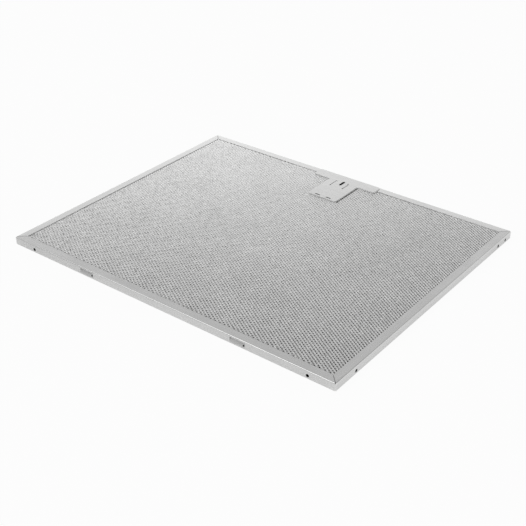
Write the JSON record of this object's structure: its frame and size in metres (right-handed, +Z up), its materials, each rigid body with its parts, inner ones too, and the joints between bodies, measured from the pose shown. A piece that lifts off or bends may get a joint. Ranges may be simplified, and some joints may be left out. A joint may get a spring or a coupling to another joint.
{
  "type": "cooker hood grease filter",
  "caption": "Flat rectangular grease filter: folded aluminium channel frame round expanded metal meshes, hook pockets along the front edge and a sprung slide latch at the back.",
  "frame": {"origin": "below the middle of the whole filter, latch nose included, on the plane of the underside", "axes": "+X along the long edge, +Y from the hooked front edge to the latched back edge, +Z up through the thickness"},
  "size_m": [0.32, 0.264, 0.0076],
  "materials": {
    "frame_aluminium": "satin rolled sheet",
    "rivet_aluminium": "plain tube",
    "mesh_aluminium": "expanded mesh",
    "foil_aluminium": "crimped expanded foil",
    "latch_plastic": "fine moulded grain",
    "spring_steel": "drawn wire"
  },
  "bodies": {
    "filter": {"frame": "frame_aluminium", "frame_rivet": "rivet_aluminium", "top_mesh": "mesh_aluminium", "inner_mesh_1": "foil_aluminium", "inner_mesh_2": "foil_aluminium", "inner_mesh_3": "foil_aluminium", "bottom_mesh": "mesh_aluminium", "latch_plate": "frame_aluminium", "latch_housing": "latch_plastic", "latch_spring": "spring_steel"},
    "slide": {"latch_slide": "latch_plastic"}
  },
  "joints": [
    {"name": "latch_draw", "type": "slide", "parent": "filter", "child": "slide", "axis": [0, -1, 0], "range_m": [0, 0.005], "stiffness_N_per_m": 300, "springref_m": -0.004, "deforming": ["latch_spring"]}
  ]
}
